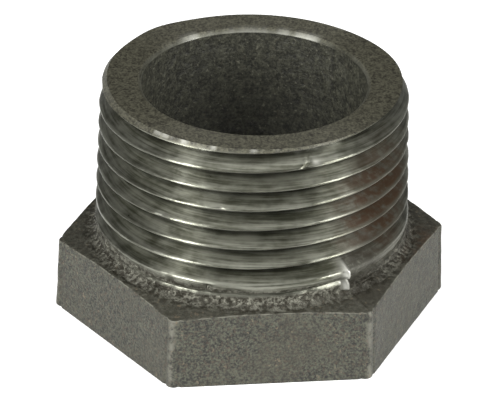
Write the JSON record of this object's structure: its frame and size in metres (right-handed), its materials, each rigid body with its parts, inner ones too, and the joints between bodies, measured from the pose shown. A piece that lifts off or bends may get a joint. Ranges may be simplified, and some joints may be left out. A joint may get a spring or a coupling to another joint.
{
  "type": "hex bushing",
  "caption": "Cast iron hexagon reducing bushing: male taper pipe thread on a round spigot, hexagonal head and a bore for a smaller female pipe thread.",
  "frame": {"origin": "centre of the hexagonal end face, on the bushing's axis", "axes": "+Z along the axis towards the end of the male thread; a corner of the hexagon lies on +X and a flat faces -Y"},
  "size_m": [0.0418, 0.0364, 0.0261],
  "materials": {
    "casting": "rough sand-cast head and neck, turned end face and cut threads"
  },
  "bodies": {
    "root": {"hex_bushing": "casting"}
  },
  "joints": []
}
